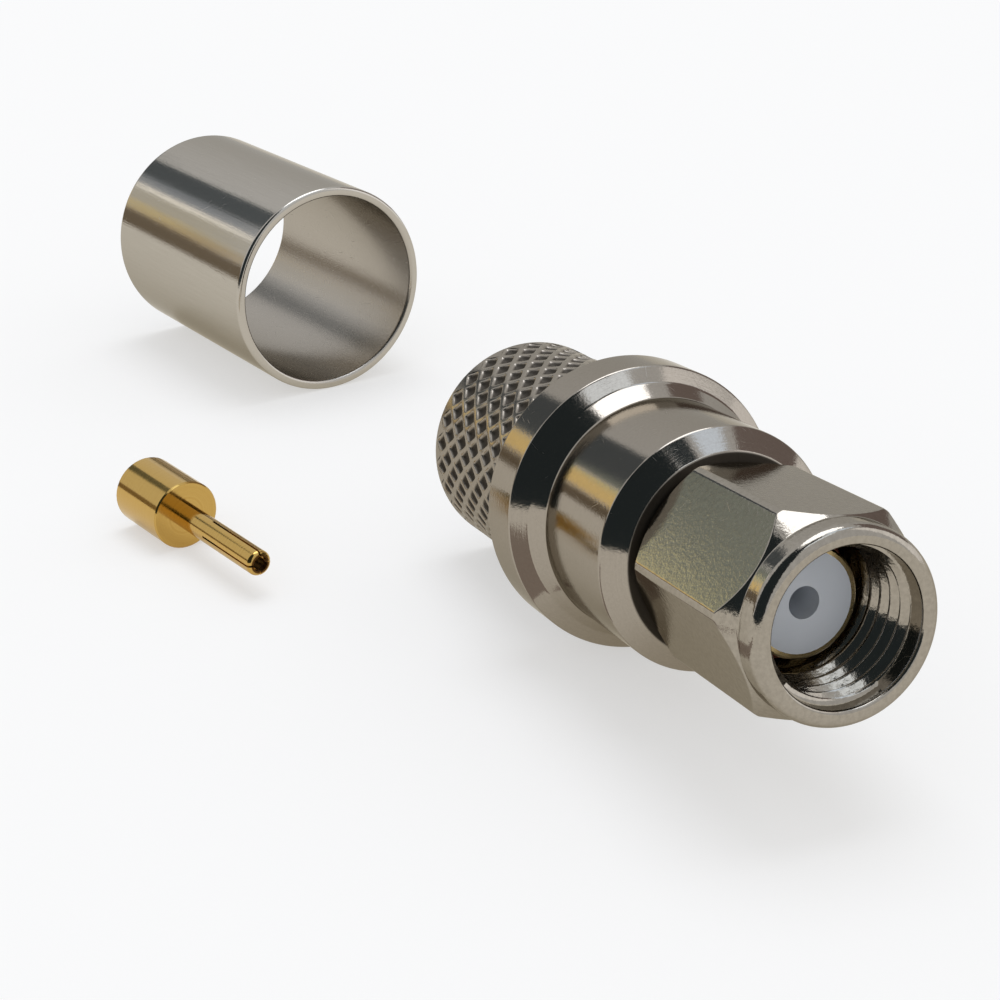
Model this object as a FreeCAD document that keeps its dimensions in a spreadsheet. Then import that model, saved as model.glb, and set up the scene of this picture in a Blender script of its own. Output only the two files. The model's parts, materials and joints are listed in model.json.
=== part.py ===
import FreeCAD, Part
import math
import os
import Sketcher

# Reverse-polarity SMA plug for a 10 mm low-loss cable, laid out as a kit: the straight connector
# with its captive coupling nut, its loose centre contact and its loose crimp ferrule.
# Millimetres, +Z up. The connector points its nose along -Y. The origin is the middle of the
# layout, on the surface that everything lies on.
#
# Every turned piece is drawn in its own frame with its axis along +X. On the connector's pieces
# x is the distance behind the front lip of the nut.

SIZES = [
    # Coupling nut
    ("nut_length", 9.6, "front lip to rear face"),
    ("nut_half_flats", 4.0, "half the distance across flats"),
    ("nut_bar_radius", 4.54, "round bar that the hexagon is milled from"),
    ("collar_step", 0.05, "the round collar lies this much below the flats"),
    ("collar_length", 1.2, "round collar in front of the hexagon"),
    ("front_cone_length", 0.85, "chamfer from the collar up to the corners"),
    ("rear_cone_length", 0.85, "chamfer from the corners down to the rear face"),
    ("rear_face_radius", 3.88, "rear face of the nut"),
    ("lip_round", 0.45, "rounded outer edge of the lip"),
    ("mouth_radius", 3.18, "smooth counterbore at the mouth"),
    ("mouth_length", 0.5, "depth of that counterbore"),
    ("mouth_chamfer", 0.15, "lead-in at the mouth"),
    ("thread_radius", 2.87, "inner crests of the 1/4-36 thread"),
    ("relief_radius", 3.35, "relief behind the thread"),
    ("relief_length", 1.5, "length of that relief"),
    ("nut_running_gap", 0.05, "rear bore of the nut round the neck"),
    ("nut_end_gap", 0.12, "rear face of the nut to the shoulder of the body"),
    ("ring_pocket_gap", 0.1, "retaining ring to the pocket in the nut, outward"),
    ("ring_pocket_play", 0.15, "retaining ring to the pocket in the nut, each side"),
    ("nut_turn_angle", 8.0, "how far the hexagon is turned from a flat on top, degrees"),
    # Connector body
    ("neck_radius", 3.0, "neck inside the nut"),
    ("neck_length", 3.72, "front edge of the neck to the shoulder"),
    ("neck_chamfer", 0.15, "front edge of the neck"),
    ("shoulder_radius", 4.35, "flat shoulder facing the nut"),
    ("nose_cone_length", 0.86, "cone from the shoulder out to the barrel"),
    ("barrel_radius", 5.26, "middle barrel"),
    ("barrel_length", 5.46, "length of the middle barrel"),
    ("inner_flare_radius", 5.74, "edge between the two cones of the flange"),
    ("inner_flare_length", 0.79, "first cone in front of the flange"),
    ("outer_flare_length", 0.54, "second cone in front of the flange"),
    ("flange_radius", 6.43, "flange that the ferrule butts against"),
    ("flange_length", 2.6, "rim of the flange"),
    ("flange_chamfer", 0.25, "rear edge of the flange"),
    ("stem_root_radius", 4.8, "plain root of the crimp stem"),
    ("stem_root_length", 0.7, "length of that root"),
    ("stem_radius", 5.07, "knurled crimp stem"),
    ("stem_length", 10.49, "rear of the flange to the end of the stem"),
    ("stem_chamfer", 0.2, "rear edge of the stem"),
    ("pit_setback", 0.96, "end of the stem to the middle of the last pits of the knurl"),
    ("pit_step", 0.8, "one ring of pits to the next, along the stem"),
    ("pit_half_length", 0.3, "half the length of a pit's floor, along the stem"),
    ("pit_half_width", 0.22, "half the width of a pit's floor, round the stem"),
    ("pit_depth", 0.17, "floor of the pits below the crests of the knurl"),
    ("pit_wall_angle", 38.0, "how far the walls of a pit lean outward, degrees"),
    ("cable_bore_radius", 3.8, "bore for the foiled core of the cable"),
    ("cable_bore_chamfer", 0.5, "lead-in of that bore"),
    ("cavity_radius", 3.3, "cavity round the solder barrel of the contact"),
    ("cavity_setback", 0.72, "shoulder to the front of that cavity"),
    # Retaining ring
    ("ring_setback", 1.42, "middle of the retaining ring in front of the shoulder"),
    ("ring_half_width", 0.25, "half the ring's width along the axis"),
    ("ring_thickness", 0.62, "radial thickness of the ring"),
    ("ring_groove_radius", 2.7, "bottom of the groove in the neck"),
    ("ring_groove_gap", 0.05, "ring to that groove, all round"),
    ("ring_arc_angle", 325.0, "arc that the split ring covers, degrees"),
    # Gasket
    ("gasket_thickness", 0.5, "along the axis"),
    ("gasket_radius", 3.0, "outer edge"),
    ("gasket_gap", 0.2, "end of the thread to the front of the gasket"),
    # Outer contact sleeve
    ("sleeve_radius", 2.295, "outside of the sleeve"),
    ("sleeve_tip_chamfer", 0.08, "outer edge of the tip"),
    # Insulator
    ("insulator_radius", 2.06, "front part, inside the sleeve"),
    ("insulator_flange_radius", 2.6, "rear flange that holds it in the body"),
    ("insulator_flange_length", 1.04, "thickness of that flange"),
    ("contact_hole_gap", 0.025, "hole of the insulator round the contact tube"),
    # Centre contact
    ("contact_tube_length", 7.14, "socket tube in front of the solder barrel"),
    ("contact_tube_radius", 0.635, "outside of the socket tube"),
    ("socket_radius", 0.47, "bore of the socket"),
    ("socket_mouth_radius", 0.38, "the closed-in mouth of the socket"),
    ("socket_mouth_length", 0.35, "how far the mouth stays that narrow"),
    ("socket_depth", 5.0, "depth of the socket"),
    ("socket_half_slot", 0.05, "half the width of the slots between the four fingers"),
    ("socket_slot_length", 4.4, "length of the slots"),
    ("contact_tip_round", 0.24, "rounded tip of the tube"),
    ("contact_barrel_radius", 1.75, "outside of the solder barrel"),
    ("contact_barrel_length", 4.1, "length of the solder barrel"),
    ("solder_cup_radius", 1.42, "bore for the 2.74 mm centre conductor"),
    ("solder_cup_depth", 3.4, "depth of that bore"),
    ("contact_edge", 0.07, "broken edges of the solder barrel"),
    # Crimp ferrule
    ("ferrule_radius", 6.15, "outside of the ferrule"),
    ("ferrule_wall", 0.55, "wall of the ferrule"),
    ("ferrule_length", 15.8, "length of the ferrule"),
    ("ferrule_round", 0.2, "rounded ends of the ferrule"),
    # Layout on the surface
    ("ferrule_back", 54.2, "lip of the nut to the front of the ferrule, along Y"),
    ("ferrule_aside", 2.8, "axis of the connector to the front of the ferrule, towards -X"),
    ("ferrule_turn_angle", 13.0, "turn of the ferrule's axis from the connector's, degrees"),
    ("contact_back", 35.0, "lip of the nut to the front of the solder barrel, along Y"),
    ("contact_aside", 16.5, "axis of the connector to that front, towards -X"),
    ("contact_turn_angle", 15.3, "turn of the contact's axis from the connector's, degrees"),
]

# Pits in one ring of the knurl
PITS_ROUND = 27

document = FreeCAD.newDocument("sma_connector")
sheet = document.addObject("Spreadsheet::Sheet", "Sizes")
for row, (alias, number, note) in enumerate(SIZES, start=1):
    sheet.set(f"A{row}", alias)
    sheet.set(f"B{row}", str(number))
    sheet.set(f"C{row}", note)
    sheet.setAlias(f"B{row}", alias)
document.recompute()


def size(alias):
    """The number in the sheet that has this alias."""
    return float(sheet.get(alias))


def value(sum_of_sizes):
    """The number that a sum such as "nut_length - rear_cone_length" stands for."""
    total = 0.0
    sign = 1.0
    for word in sum_of_sizes.split():
        if word in "+-":
            sign = 1.0 if word == "+" else -1.0
        elif word != "0":
            total += sign * size(word)
    return total


def formula(sum_of_sizes):
    """The same sum, written for an expression that reads the sheet."""
    words = sum_of_sizes.split()
    return " ".join(word if word in "+-0" else f"Sizes.{word}" for word in words)


def origin_feature(body, role):
    """One of the body's own origin planes or axes."""
    return next(item for item in body.Origin.OriginFeatures if item.Role == role)


def new_body(label):
    body = document.addObject("PartDesign::Body", label)
    body.Label = label
    return body


def new_sketch(body, name, plane):
    sketch = body.newObject("Sketcher::SketchObject", name)
    sketch.AttachmentSupport = [(origin_feature(body, plane), "")]
    sketch.MapMode = "FlatFace"
    return sketch


def draw_outline(sketch, corners):
    """Draw a closed outline whose corners are held at sums of sizes from the sketch's origin."""
    first = sketch.GeometryCount
    places = [FreeCAD.Vector(value(along), value(across), 0) for along, across in corners]
    for index, start in enumerate(places):
        end = places[(index + 1) % len(places)]
        sketch.addGeometry(Part.LineSegment(start, end), False)
    for index in range(len(places)):
        following = first + (index + 1) % len(places)
        sketch.addConstraint(Sketcher.Constraint("Coincident", first + index, 2, following, 1))
    for index, (along, across) in enumerate(corners, start=first):
        for kind, direction, text in (("DistanceX", "x", along), ("DistanceY", "y", across)):
            number = sketch.addConstraint(Sketcher.Constraint(kind, -1, 1, index, 1, value(text)))
            sketch.renameConstraint(number, f"corner_{index}_{direction}")
            sketch.setExpression(f"Constraints.corner_{index}_{direction}", formula(text))


def turn(body, name, corners):
    """Turn an outline of (distance along the axis, radius) corners about the body's X axis."""
    sketch = new_sketch(body, f"{name}_outline", "XZ_Plane")
    draw_outline(sketch, corners)
    solid = body.newObject("PartDesign::Revolution", name)
    solid.Profile = sketch
    solid.ReferenceAxis = (origin_feature(body, "X_Axis"), [""])
    solid.Angle = 360
    document.recompute()
    return solid


def turned_groove(body, name, corners):
    """Cut a turned groove of the same kind of outline, and make sure that it cut something."""
    before = body.Shape.Volume
    sketch = new_sketch(body, f"{name}_outline", "XZ_Plane")
    draw_outline(sketch, corners)
    groove = body.newObject("PartDesign::Groove", name)
    groove.Profile = sketch
    groove.ReferenceAxis = (origin_feature(body, "X_Axis"), [""])
    groove.Angle = 360
    document.recompute()
    check_cut(body, name, before)
    return groove


def check_cut(body, name, volume_before):
    if not body.Shape.Volume < volume_before:
        raise RuntimeError(f"{name} cuts nothing from {body.Label}")


def rim(feature, along, radius):
    """The names of the circular edges of that radius at that distance along the axis."""
    names = []
    for number, edge in enumerate(feature.Shape.Edges, start=1):
        if isinstance(edge.Curve, Part.Circle):
            same_radius = abs(edge.Curve.Radius - radius) < 1e-4
            same_place = abs(edge.Curve.Center.x - along) < 1e-4
            if same_radius and same_place:
                names.append(f"Edge{number}")
    if not names:
        raise RuntimeError(f"no rim of radius {radius} at {along} on {feature.Label}")
    return names


def round_rims(body, name, feature, rims, size_alias):
    fillet = body.newObject("PartDesign::Fillet", name)
    fillet.Base = (feature, [edge for along, radius in rims for edge in rim(feature, along, radius)])
    fillet.setExpression("Radius", formula(size_alias))
    document.recompute()
    return fillet


def repeat_round_axis(body, name, feature, count, angle=360):
    """Repeat a feature round the body's X axis, over the whole turn or over an angle."""
    pattern = body.newObject("PartDesign::PolarPattern", name)
    pattern.Originals = [feature]
    pattern.Axis = (origin_feature(body, "X_Axis"), [""])
    pattern.Angle = angle
    pattern.Occurrences = count
    body.Tip = pattern
    document.recompute()
    return pattern


# Places along the connector's axis, behind the front lip of the nut. The rear of the nut bears on
# the shoulder of the body, and everything in and on the body is placed from that shoulder.
SHOULDER = "nut_length + nut_end_gap"
BARREL_FRONT = f"{SHOULDER} + nose_cone_length"
BARREL_REAR = f"{BARREL_FRONT} + barrel_length"
FLARE_EDGE = f"{BARREL_REAR} + inner_flare_length"
FLANGE_FRONT = f"{FLARE_EDGE} + outer_flare_length"
FLANGE_REAR = f"{FLANGE_FRONT} + flange_length"
STEM_ROOT_END = f"{FLANGE_REAR} + stem_root_length"
STEM_END = f"{FLANGE_REAR} + stem_length"
NECK_FRONT = f"{SHOULDER} - neck_length"
GASKET_FRONT = f"{NECK_FRONT} - gasket_thickness"
THREAD_END = f"{GASKET_FRONT} - gasket_gap"
RELIEF_END = f"{THREAD_END} + relief_length"
CAVITY_FRONT = f"{SHOULDER} + cavity_setback"
CAVITY_REAR = f"{CAVITY_FRONT} + contact_barrel_length"
SLEEVE_REAR = f"{CAVITY_FRONT} - insulator_flange_length"
SLEEVE_TIP = f"{CAVITY_FRONT} - contact_tube_length"
RING_FRONT = f"{SHOULDER} - ring_setback - ring_half_width"
RING_REAR = f"{SHOULDER} - ring_setback + ring_half_width"

# Radii that follow from a fit
RING_INNER = "ring_groove_radius + ring_groove_gap"
RING_OUTER = f"{RING_INNER} + ring_thickness"
RING_POCKET = f"{RING_OUTER} + ring_pocket_gap"
NUT_REAR_BORE = "neck_radius + nut_running_gap"
COLLAR_RADIUS = "nut_half_flats - collar_step"
CONTACT_HOLE = "contact_tube_radius + contact_hole_gap"
FERRULE_BORE = "ferrule_radius - ferrule_wall"


def knurl(body, name, rear, turned):
    """Roll one family of diamond pits into the stem, from the middle of the rearmost ones forward to
    its root, and repeat it round the stem from that angle on."""
    room = value(rear) - value(STEM_ROOT_END) - size("pit_step")
    count = 1 + int(room / (2 * size("pit_step")))
    floor_radius = size("stem_radius") - size("pit_depth")
    angle = math.radians(turned)
    before = body.Shape.Volume
    sketch = new_sketch(body, f"{name}_outline", "XY_Plane")
    place = FreeCAD.Vector(0, -floor_radius * math.sin(angle), floor_radius * math.cos(angle))
    sketch.AttachmentOffset = FreeCAD.Placement(place, FreeCAD.Rotation(ALONG, turned))
    floor = "(Sizes.stem_radius - Sizes.pit_depth)"
    sketch.setExpression(".AttachmentOffset.Base.y", f"{-math.sin(angle):.12f} * {floor}")
    sketch.setExpression(".AttachmentOffset.Base.z", f"{math.cos(angle):.12f} * {floor}")
    for number in range(count):
        middle = rear + " - pit_step - pit_step" * number
        draw_outline(sketch, [
            (f"{middle} - pit_half_length", "0"),
            (middle, "0 - pit_half_width"),
            (f"{middle} + pit_half_length", "0"),
            (middle, "pit_half_width"),
        ])
    pits = body.newObject("PartDesign::Pocket", name)
    pits.Profile = sketch
    pits.Reversed = True
    pits.setExpression("Length", "2 * Sizes.pit_depth")
    pits.setExpression("TaperAngle", formula("pit_wall_angle"))
    document.recompute()
    check_cut(body, name, before)
    repeat_round_axis(body, f"{name}_round", pits, PITS_ROUND)


def make_connector_body():
    """The body: neck, barrel, flange and crimp stem turned in one piece, bored right through."""
    body = new_body("connector_body")
    turned = turn(body, "turned_body", [
        (NECK_FRONT, "sleeve_radius"),
        (NECK_FRONT, "neck_radius - neck_chamfer"),
        (f"{NECK_FRONT} + neck_chamfer", "neck_radius"),
        (SHOULDER, "neck_radius"),
        (SHOULDER, "shoulder_radius"),
        (BARREL_FRONT, "barrel_radius"),
        (BARREL_REAR, "barrel_radius"),
        (FLARE_EDGE, "inner_flare_radius"),
        (FLANGE_FRONT, "flange_radius"),
        (f"{FLANGE_REAR} - flange_chamfer", "flange_radius"),
        (FLANGE_REAR, "flange_radius - flange_chamfer"),
        (FLANGE_REAR, "stem_root_radius"),
        (STEM_ROOT_END, "stem_root_radius"),
        (STEM_ROOT_END, "stem_radius"),
        (f"{STEM_END} - stem_chamfer", "stem_radius"),
        (STEM_END, "stem_radius - stem_chamfer"),
        (STEM_END, "cable_bore_radius + cable_bore_chamfer"),
        (f"{STEM_END} - cable_bore_chamfer", "cable_bore_radius"),
        (CAVITY_REAR, "cable_bore_radius"),
        (CAVITY_REAR, "cavity_radius"),
        (CAVITY_FRONT, "cavity_radius"),
        (CAVITY_FRONT, "insulator_flange_radius"),
        (SLEEVE_REAR, "insulator_flange_radius"),
        (SLEEVE_REAR, "sleeve_radius"),
    ])
    turned_groove(body, "ring_groove", [
        (f"{RING_FRONT} - ring_groove_gap", "ring_groove_radius"),
        (f"{RING_REAR} + ring_groove_gap", "ring_groove_radius"),
        (f"{RING_REAR} + ring_groove_gap", "shoulder_radius"),
        (f"{RING_FRONT} - ring_groove_gap", "shoulder_radius"),
    ])
    rear_pits = f"{STEM_END} - pit_setback"
    knurl(body, "rear_pits", rear_pits, 0.0)
    knurl(body, "staggered_pits", f"{rear_pits} - pit_step", 180.0 / PITS_ROUND)
    return body


def make_coupling_nut():
    """The nut: turned from round bar with its bores, then milled to a hexagon behind the collar."""
    body = new_body("coupling_nut")
    turned = turn(body, "turned_nut", [
        ("0", "mouth_radius + mouth_chamfer"),
        ("0", COLLAR_RADIUS),
        ("collar_length", COLLAR_RADIUS),
        ("collar_length + front_cone_length", "nut_bar_radius"),
        ("nut_length - rear_cone_length", "nut_bar_radius"),
        ("nut_length", "rear_face_radius"),
        ("nut_length", NUT_REAR_BORE),
        (f"{RING_REAR} + ring_pocket_play", NUT_REAR_BORE),
        (f"{RING_REAR} + ring_pocket_play", RING_POCKET),
        (f"{RING_FRONT} - ring_pocket_play", RING_POCKET),
        (f"{RING_FRONT} - ring_pocket_play", NUT_REAR_BORE),
        (RELIEF_END, NUT_REAR_BORE),
        (RELIEF_END, "relief_radius"),
        (THREAD_END, "relief_radius"),
        (THREAD_END, "thread_radius"),
        ("mouth_length", "thread_radius"),
        ("mouth_length", "mouth_radius"),
        ("mouth_chamfer", "mouth_radius"),
    ])
    round_rims(body, "rounded_lip", turned, [(0.0, value(COLLAR_RADIUS))], "lip_round")
    before = body.Shape.Volume
    sketch = new_sketch(body, "flat_outline", "YZ_Plane")
    draw_outline(sketch, [
        ("0 - nut_bar_radius", "nut_half_flats"),
        ("nut_bar_radius", "nut_half_flats"),
        ("nut_bar_radius", "nut_half_flats + nut_bar_radius"),
        ("0 - nut_bar_radius", "nut_half_flats + nut_bar_radius"),
    ])
    flat = body.newObject("PartDesign::Pocket", "milled_flat")
    flat.Profile = sketch
    flat.Reversed = True
    flat.setExpression("Length", formula("nut_length"))
    document.recompute()
    check_cut(body, "milled_flat", before)
    repeat_round_axis(body, "hexagon", flat, 6)
    return body


def make_retaining_ring():
    """The split ring of flat wire that holds the nut on the neck."""
    body = new_body("retaining_ring")
    ring = turn(body, "wire_ring", [
        (RING_FRONT, RING_INNER),
        (RING_REAR, RING_INNER),
        (RING_REAR, RING_OUTER),
        (RING_FRONT, RING_OUTER),
    ])
    ring.setExpression("Angle", formula("ring_arc_angle"))
    document.recompute()
    return body


def make_gasket():
    """The flat seal in front of the neck, behind the end of the thread."""
    body = new_body("gasket")
    turn(body, "flat_seal", [
        (GASKET_FRONT, "sleeve_radius"),
        (NECK_FRONT, "sleeve_radius"),
        (NECK_FRONT, "gasket_radius"),
        (GASKET_FRONT, "gasket_radius"),
    ])
    return body


def make_contact_sleeve():
    """The thin outer contact, pressed into the neck and seated on the insulator's flange."""
    body = new_body("contact_sleeve")
    turn(body, "thin_sleeve", [
        (SLEEVE_TIP, "insulator_radius"),
        (SLEEVE_REAR, "insulator_radius"),
        (SLEEVE_REAR, "sleeve_radius"),
        (f"{SLEEVE_TIP} + sleeve_tip_chamfer", "sleeve_radius"),
        (SLEEVE_TIP, "sleeve_radius - sleeve_tip_chamfer"),
    ])
    return body


def make_insulator():
    """The insulator: flush with the sleeve's tip, with a flange that seats behind the sleeve."""
    body = new_body("insulator")
    turn(body, "turned_insulator", [
        (SLEEVE_TIP, CONTACT_HOLE),
        (CAVITY_FRONT, CONTACT_HOLE),
        (CAVITY_FRONT, "insulator_flange_radius"),
        (SLEEVE_REAR, "insulator_flange_radius"),
        (SLEEVE_REAR, "insulator_radius"),
        (SLEEVE_TIP, "insulator_radius"),
    ])
    return body


def make_centre_contact():
    """The socket contact: x runs from the tip of the tube back to the solder cup."""
    body = new_body("centre_contact")
    barrel_rear = "contact_tube_length + contact_barrel_length"
    cup_bottom = f"{barrel_rear} - solder_cup_depth"
    turned = turn(body, "turned_contact", [
        ("0", "socket_mouth_radius"),
        ("0", "contact_tube_radius"),
        ("contact_tube_length", "contact_tube_radius"),
        ("contact_tube_length", "contact_barrel_radius - contact_edge"),
        ("contact_tube_length + contact_edge", "contact_barrel_radius"),
        (f"{barrel_rear} - contact_edge", "contact_barrel_radius"),
        (barrel_rear, "contact_barrel_radius - contact_edge"),
        (barrel_rear, "solder_cup_radius"),
        (cup_bottom, "solder_cup_radius"),
        (cup_bottom, "0"),
        ("socket_depth", "0"),
        ("socket_depth", "socket_radius"),
        ("socket_mouth_length", "socket_radius"),
        ("socket_mouth_length", "socket_mouth_radius"),
    ])
    round_rims(body, "rounded_tip", turned, [(0.0, size("contact_tube_radius"))], "contact_tip_round")
    before = body.Shape.Volume
    sketch = new_sketch(body, "slot_outline", "XY_Plane")
    draw_outline(sketch, [
        ("0", "0 - socket_half_slot"),
        ("socket_slot_length", "0 - socket_half_slot"),
        ("socket_slot_length", "socket_half_slot"),
        ("0", "socket_half_slot"),
    ])
    slot = body.newObject("PartDesign::Pocket", "slot")
    slot.Profile = sketch
    slot.Midplane = True
    slot.setExpression("Length", "2 * Sizes.contact_tube_radius")
    document.recompute()
    check_cut(body, "slot", before)
    repeat_round_axis(body, "crossed_slots", slot, 2, 90)
    return body


def make_crimp_ferrule():
    """The drawn tube that is crimped over the braid: x runs from its front end to its rear end."""
    body = new_body("crimp_ferrule")
    tube = turn(body, "drawn_tube", [
        ("0", FERRULE_BORE),
        ("ferrule_length", FERRULE_BORE),
        ("ferrule_length", "ferrule_radius"),
        ("0", "ferrule_radius"),
    ])
    ends = [(along, radius)
            for along in (0.0, size("ferrule_length"))
            for radius in (value(FERRULE_BORE), size("ferrule_radius"))]
    round_rims(body, "rounded_ends", tube, ends, "ferrule_round")
    return body


UP = FreeCAD.Vector(0, 0, 1)
ALONG = FreeCAD.Vector(1, 0, 0)


def resting_tilt():
    """The connector lies on the rear rim of its flange and the rear rim of its stem: the angle in
    degrees by which that lowers its rear end."""
    drop = size("flange_radius") - size("stem_radius")
    run = value(f"{STEM_END} - stem_chamfer") - value(f"{FLANGE_REAR} - flange_chamfer")
    return math.degrees(math.atan2(drop, run))


def lay_out(connector_pieces, nut, contact, ferrule):
    """Place every piece as it lies on the surface, with the middle of the layout at the origin."""
    tilt = resting_tilt()
    flange_edge = value(f"{FLANGE_REAR} - flange_chamfer")
    slope = math.radians(tilt)
    lip_height = flange_edge * math.sin(slope) + size("flange_radius") * math.cos(slope)
    lying = FreeCAD.Rotation(UP, 90) * FreeCAD.Rotation(FreeCAD.Vector(0, 1, 0), tilt)
    lip = FreeCAD.Vector(0, 0, lip_height)
    for body in connector_pieces:
        body.Placement = FreeCAD.Placement(lip, lying)
    nut.Placement = FreeCAD.Placement(lip, lying * FreeCAD.Rotation(ALONG, size("nut_turn_angle")))

    turned = FreeCAD.Rotation(UP, 90 + size("ferrule_turn_angle"))
    front = FreeCAD.Vector(-size("ferrule_aside"), size("ferrule_back"), size("ferrule_radius"))
    ferrule.Placement = FreeCAD.Placement(front, turned)

    turned = FreeCAD.Rotation(UP, 90 + size("contact_turn_angle"))
    height = size("contact_barrel_radius")
    barrel_front = FreeCAD.Vector(-size("contact_aside"), size("contact_back"), height)
    tip = barrel_front - turned.multVec(ALONG) * size("contact_tube_length")
    contact.Placement = FreeCAD.Placement(tip, turned)
    document.recompute()

    pieces = connector_pieces + [nut, contact, ferrule]
    box = FreeCAD.BoundBox()
    for body in pieces:
        box.add(body.Shape.optimalBoundingBox(False, False))
    middle = FreeCAD.Vector(box.Center.x, box.Center.y, 0)
    for body in pieces:
        body.Placement = FreeCAD.Placement(body.Placement.Base - middle, body.Placement.Rotation)
    document.recompute()
    return pieces


def check_document():
    """Stop if any object of the document failed."""
    for item in document.Objects:
        if "Invalid" in item.State or "Error" in item.State:
            raise RuntimeError(f"{item.Label} failed: {item.State}")


def write_parts(pieces):
    """Write each piece to its own STEP file, once all of them are sound."""
    for body in pieces:
        shape = body.Shape
        if shape.isNull() or not shape.isValid() or len(shape.Solids) != 1:
            raise RuntimeError(f"{body.Label} is not one valid solid")
    os.makedirs("parts", exist_ok=True)
    for body in pieces:
        body.Shape.exportStep(f"parts/{body.Label}.step")
        base = body.Placement.Base
        print(f"{body.Label}: {body.Shape.Volume:.2f} mm3 at ({base.x:.4f}, {base.y:.4f}, {base.z:.4f})")


connector_body = make_connector_body()
coupling_nut = make_coupling_nut()
retaining_ring = make_retaining_ring()
gasket = make_gasket()
contact_sleeve = make_contact_sleeve()
insulator = make_insulator()
centre_contact = make_centre_contact()
crimp_ferrule = make_crimp_ferrule()

all_pieces = lay_out(
    [connector_body, retaining_ring, gasket, contact_sleeve, insulator],
    coupling_nut, centre_contact, crimp_ferrule,
)
check_document()
write_parts(all_pieces)
print(f"connector tilted by {resting_tilt():.4f} degrees")
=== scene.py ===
import bmesh
import bpy
import json
import math
from collections import namedtuple
from mathutils import Matrix, Vector


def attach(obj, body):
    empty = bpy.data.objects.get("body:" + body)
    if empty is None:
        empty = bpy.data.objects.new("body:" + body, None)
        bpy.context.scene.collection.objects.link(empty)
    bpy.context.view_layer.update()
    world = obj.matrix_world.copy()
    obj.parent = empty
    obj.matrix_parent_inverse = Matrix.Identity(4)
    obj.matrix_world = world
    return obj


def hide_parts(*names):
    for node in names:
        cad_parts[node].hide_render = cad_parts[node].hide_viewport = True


# Looks of the crimp plug kit: the bright nickel connector with its coupling nut, the loose gold
# contact and the loose crimp ferrule, on a pale floor. Outlines are in millimetres, as (distance
# along the piece's axis, radius); everything placed in the scene is in metres.

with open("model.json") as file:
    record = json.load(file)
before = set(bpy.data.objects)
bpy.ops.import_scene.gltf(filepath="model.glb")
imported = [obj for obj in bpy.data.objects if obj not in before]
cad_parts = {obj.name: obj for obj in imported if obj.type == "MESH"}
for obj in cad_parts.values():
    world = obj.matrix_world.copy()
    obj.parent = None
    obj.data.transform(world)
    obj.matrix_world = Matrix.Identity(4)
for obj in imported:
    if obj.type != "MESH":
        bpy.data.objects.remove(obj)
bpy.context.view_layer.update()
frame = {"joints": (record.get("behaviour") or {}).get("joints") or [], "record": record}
MM = 0.001
UPWARD = Vector((0, 0, 1))

# Sizes of the loose pieces that their places follow from
FERRULE_LENGTH = 15.8
CONTACT_LENGTH = 11.24
SOLDER_CUP_DEPTH = 3.4


def mount_of(name):
    """The place and the axis of one of the record's mounts."""
    found = next(mount for mount in frame["record"]["mounts"] if mount["name"] == name)
    return Vector(found["pos_m"]), Vector(found["axis"])


# Axes of the three turned parts. The nut's joint gives the connector's: its place is the middle
# of the nut's front lip, and its axis points out of the nose. The two loose pieces' come from
# their bores, whose mounts lie in the middle of the bore and point to the rear.
nut_joint = frame["joints"][0]
LIP = Vector(nut_joint["pos_m"])
TO_REAR = -Vector(nut_joint["axis"])
ferrule_middle, FERRULE_AXIS = mount_of("ferrule_bore")
FERRULE_FRONT = ferrule_middle - FERRULE_AXIS * (FERRULE_LENGTH / 2 * MM)
cup_middle, CONTACT_AXIS = mount_of("solder_cup")
CONTACT_TIP = cup_middle - CONTACT_AXIS * ((CONTACT_LENGTH - SOLDER_CUP_DEPTH / 2) * MM)

# Shapes

# A broken corner takes at most this share of each side, and a point beside each end of its round,
# this many times as far from the corner, keeps the shading of the side straight
SHARE_OF_SIDE = 0.3
BESIDE_CORNER = 1.5
CORNER_STEPS = (0, 0.25, 0.5, 0.75, 1)
# The same for the ends that are rounded with a full quarter, in millimetres
BESIDE_ROUND = 0.05
# Points closer than this are one, and edges shorter than this are dropped, in millimetres
WELD = 2e-5
SHORTEST_EDGE = 1e-6


def lying(start, axis):
    """The matrix that lays a piece drawn along +X, with +Z upward, on its axis in the scene."""
    along = axis.normalized()
    side = UPWARD.cross(along).normalized()
    up = along.cross(side)
    turn = Matrix((along, side, up)).transposed().to_4x4()
    return Matrix.Translation(start) @ turn


def softened(outline, cut, sharp=()):
    """An outline with each corner broken by a small round, but for the corners in sharp."""
    points = []
    count = len(outline)
    for index, corner in enumerate(outline):
        here = Vector(corner)
        if index in sharp:
            points.append(here)
            continue
        before = Vector(outline[index - 1]) - here
        after = Vector(outline[(index + 1) % count]) - here
        reach = min(cut, SHARE_OF_SIDE * before.length, SHARE_OF_SIDE * after.length)
        first = here + before.normalized() * reach
        last = here + after.normalized() * reach
        points.append(here + before.normalized() * reach * BESIDE_CORNER)
        for step in CORNER_STEPS:
            points.append(first.lerp(here, step).lerp(here.lerp(last, step), step))
        points.append(here + after.normalized() * reach * BESIDE_CORNER)
    return points


def quarter_round(centre, radius, start_degrees, steps=6):
    """Corners of a quarter round in an outline, from an angle on; the angle runs from +along
    towards +radius."""
    angles = [math.radians(start_degrees + 90 * step / steps) for step in range(steps + 1)]
    return [(centre[0] + radius * math.cos(a), centre[1] + radius * math.sin(a)) for a in angles]


def round_about(along, radius, around):
    """The point at a distance along the axis, out from it, and turned from the top towards +X."""
    return (along, -radius * math.sin(around), radius * math.cos(around))


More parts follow.
